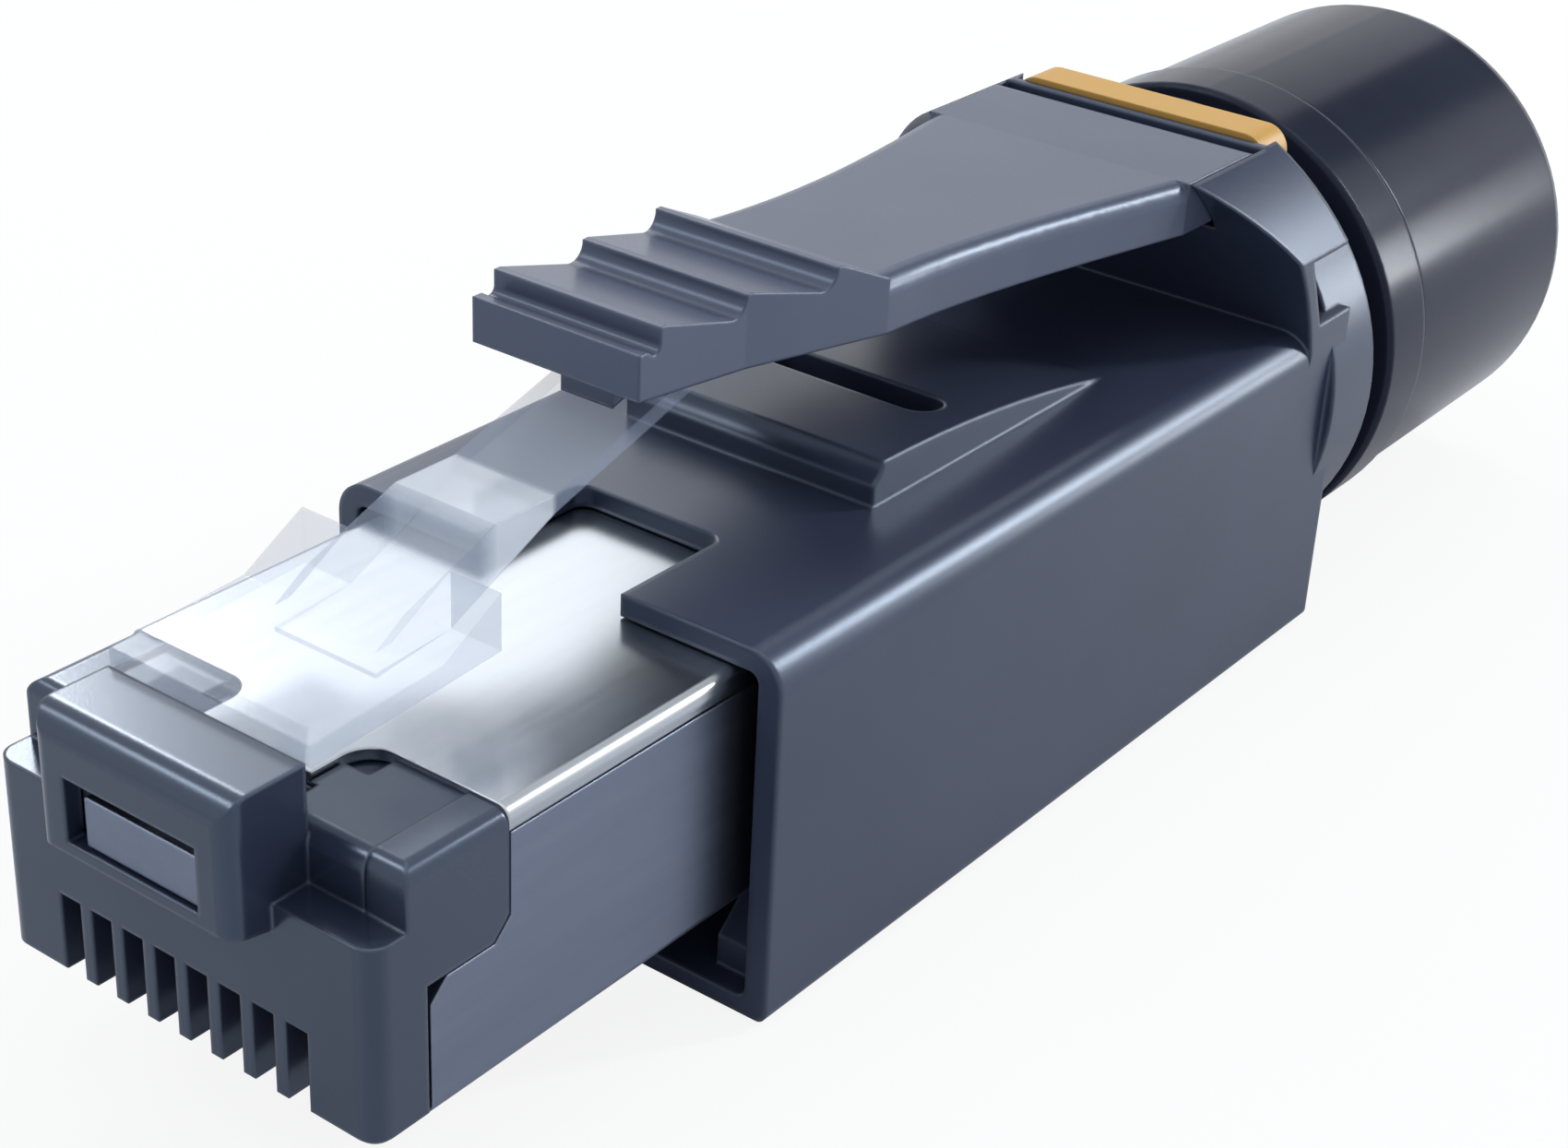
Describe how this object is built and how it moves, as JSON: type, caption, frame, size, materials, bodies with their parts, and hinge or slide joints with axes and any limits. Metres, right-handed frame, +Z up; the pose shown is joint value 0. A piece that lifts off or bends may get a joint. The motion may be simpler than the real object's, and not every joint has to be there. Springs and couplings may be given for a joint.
{
  "type": "rj45 modular plug",
  "caption": "Field-wired shielded modular data plug: black housing with a ribbed release lever over a clear snap latch, sheet shield, contact nose and round cable gland nut.",
  "frame": {"origin": "under the middle of the plug, on the surface that it lies on: the lowest point of the gland body's outer ring", "axes": "+Y from the contact nose to the cable end, +Z up on the latch side, X across the plug"},
  "size_m": [0.0148, 0.0564, 0.0168],
  "materials": {
    "black_plastic": "fine spark-eroded black polyamide",
    "shield_sheet": "bright nickel-plated sheet",
    "clear_plastic": "clear polycarbonate",
    "contact_gold": "gold plated bronze",
    "ochre_plastic": "satin ochre plastic",
    "seal_rubber": "black sealing rubber",
    "insert_plastic": "grey glass-filled plastic",
    "natural_plastic": "natural acetal",
    "spring_sheet": "bright spring steel"
  },
  "bodies": {
    "plug": {"contact_carrier": "black_plastic", "key_plate": "shield_sheet", "upper_shield": "shield_sheet", "lower_shield": "shield_sheet", "housing": "black_plastic", "colour_clip": "ochre_plastic", "seal_ring": "seal_rubber", "gland_body": "black_plastic", "terminal_block": "insert_plastic", "wire_cap_upper": "insert_plastic", "wire_cap_lower": "insert_plastic", "cable_seal": "seal_rubber", "clamp_cage": "natural_plastic", "shield_spring": "spring_sheet", "contact_1": "contact_gold", "contact_2": "contact_gold", "contact_3": "contact_gold", "contact_4": "contact_gold", "contact_5": "contact_gold", "contact_6": "contact_gold", "contact_7": "contact_gold", "contact_8": "contact_gold"},
    "latch": {"latch": "clear_plastic"},
    "release_lever": {"release_lever": "black_plastic"},
    "thrust_ring": {"thrust_ring": "natural_plastic"},
    "gland_nut": {"gland_nut": "black_plastic"}
  },
  "joints": [
    {"name": "lever_press", "type": "hinge", "parent": "plug", "child": "release_lever", "pos_m": [0, 0.0098, 0.01445], "axis": [1, 0, 0], "range_deg": [0, 5.5], "stiffness_Nm_per_rad": 0.1},
    {"name": "latch_flex", "type": "hinge", "parent": "plug", "child": "latch", "pos_m": [0, -0.02645, 0.0089], "axis": [1, 0, 0], "range_deg": [-12, 0]},
    {"name": "nut_travel", "type": "slide", "parent": "plug", "child": "thrust_ring", "axis": [0, 1, 0], "range_m": [0, 0.0045]},
    {"name": "nut_turn", "type": "hinge", "parent": "thrust_ring", "child": "gland_nut", "pos_m": [0, 0.02275, 0.00745], "axis": [0, 1, 0], "range_deg": [0, 1200]}
  ],
  "couplings": [
    {"joint": "latch_flex", "follows": "lever_press", "ratio": -1.84},
    {"joint": "nut_turn", "follows": "nut_travel", "rad_per_m": 4188.8}
  ]
}
